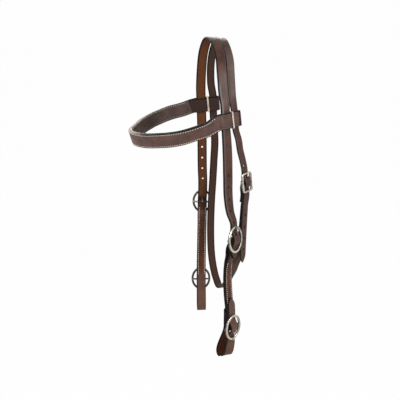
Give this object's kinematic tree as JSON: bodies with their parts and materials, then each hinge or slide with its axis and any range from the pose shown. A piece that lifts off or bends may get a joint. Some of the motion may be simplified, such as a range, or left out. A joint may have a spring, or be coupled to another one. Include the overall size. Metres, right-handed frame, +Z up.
{
  "type": "western headstall",
  "caption": "Western browband headstall of dark leather straps with a throat strap, bit loops on adjustable cheeks and centre-bar buckles, shaped as it hangs from a peg.",
  "frame": {"origin": "underside of the crown strap at its highest point, where it lies over the poll", "axes": "+X towards the horse's left (near) side, -Y forward to the browband, +Z up"},
  "size_m": [0.1962, 0.1807, 0.5057],
  "materials": {
    "crown_leather": "chestnut harness leather, waxed face, dark burnished edges",
    "throat_leather": "dark oiled strap leather",
    "cheek_leather": "dark chestnut leather, sewn near both edges with light thread",
    "brow_leather": "chestnut leather, sewn near both edges",
    "lining_leather": "dark flesh-side lining leather",
    "cream_lace": "cream rawhide lace",
    "steel": "polished stainless steel, warm silver"
  },
  "bodies": {
    "root": {"crown_strap": "crown_leather", "throat_strap": "throat_leather", "near_upper_buckle_frame": "steel", "off_upper_buckle_frame": "steel", "throat_buckle_frame": "steel"},
    "near_cheek": {"near_cheek_strap": "cheek_leather", "near_lower_buckle_frame": "steel"},
    "off_cheek": {"off_cheek_strap": "cheek_leather", "off_lower_buckle_frame": "steel"},
    "near_upper_tongue": {"near_upper_buckle_tongue": "steel"},
    "off_upper_tongue": {"off_upper_buckle_tongue": "steel"},
    "near_lower_tongue": {"near_lower_buckle_tongue": "steel"},
    "off_lower_tongue": {"off_lower_buckle_tongue": "steel"},
    "throat_tongue": {"throat_buckle_tongue": "steel"},
    "browband": {"browband_face": "brow_leather", "browband_lining": "lining_leather", "near_browband_binding": "cream_lace", "off_browband_binding": "cream_lace"}
  },
  "joints": [
    {"name": "near_cheek_swing", "type": "hinge", "parent": "root", "child": "near_cheek", "pos_m": [0.08336, 0.01199, -0.29967], "axis": [-0.5648, 0.8233, -0.0565], "range_deg": [0, 15]},
    {"name": "off_cheek_swing", "type": "hinge", "parent": "root", "child": "off_cheek", "pos_m": [-0.08333, 0.00732, -0.28967], "axis": [-0.2302, -0.9729, 0.023], "range_deg": [0, 15]},
    {"name": "near_upper_tongue_lift", "type": "hinge", "parent": "root", "child": "near_upper_tongue", "pos_m": [0.08336, 0.01199, -0.29967], "axis": [-0.5648, 0.8233, -0.0565], "range_deg": [0, 3]},
    {"name": "off_upper_tongue_lift", "type": "hinge", "parent": "root", "child": "off_upper_tongue", "pos_m": [-0.08333, 0.00732, -0.28967], "axis": [-0.2302, -0.9729, 0.023], "range_deg": [0, 3]},
    {"name": "near_lower_tongue_lift", "type": "hinge", "parent": "near_cheek", "child": "near_lower_tongue", "pos_m": [0.08718, 0.00892, -0.44865], "axis": [0.515, -0.8572, 0], "range_deg": [0, 3]},
    {"name": "off_lower_tongue_lift", "type": "hinge", "parent": "off_cheek", "child": "off_lower_tongue", "pos_m": [-0.08715, 0.00612, -0.43865], "axis": [0.2079, 0.9781, 0], "range_deg": [0, 3]},
    {"name": "throat_tongue_lift", "type": "hinge", "parent": "root", "child": "throat_tongue", "pos_m": [0.07029, 0.03373, -0.21201], "axis": [-0.4697, 0.8784, 0.0878], "range_deg": [0, 3]},
    {"name": "browband_slide", "type": "slide", "parent": "root", "child": "browband", "axis": [0, 0, 1], "range_m": [-0.0025, 0.0025]}
  ]
}
